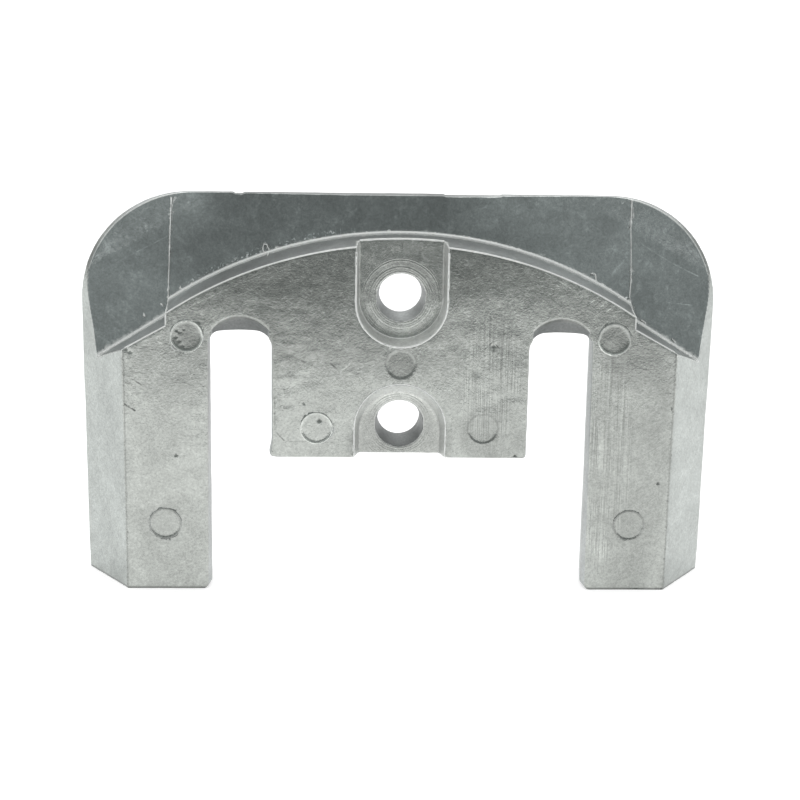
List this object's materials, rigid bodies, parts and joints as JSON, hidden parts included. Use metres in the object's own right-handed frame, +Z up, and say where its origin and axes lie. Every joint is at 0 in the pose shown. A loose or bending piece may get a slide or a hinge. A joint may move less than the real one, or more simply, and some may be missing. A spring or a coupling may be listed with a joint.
{
  "type": "sacrificial anode",
  "caption": "Cast metal anode plate with rounded upper corners, two legs, a centre tongue with sunk bolt seats, and a thin shelf above an arched wall.",
  "frame": {"origin": "on the floor, midway between the legs and midway through the thickness", "axes": "+Z up from the leg ends to the rounded top, +X across the plate, -Y out of the front face, +Y out of the flat back"},
  "size_m": [0.1588, 0.0164, 0.0983],
  "materials": {
    "cast_metal": "as cast, matt"
  },
  "bodies": {
    "root": {"anode_casting": "cast_metal"}
  },
  "joints": []
}
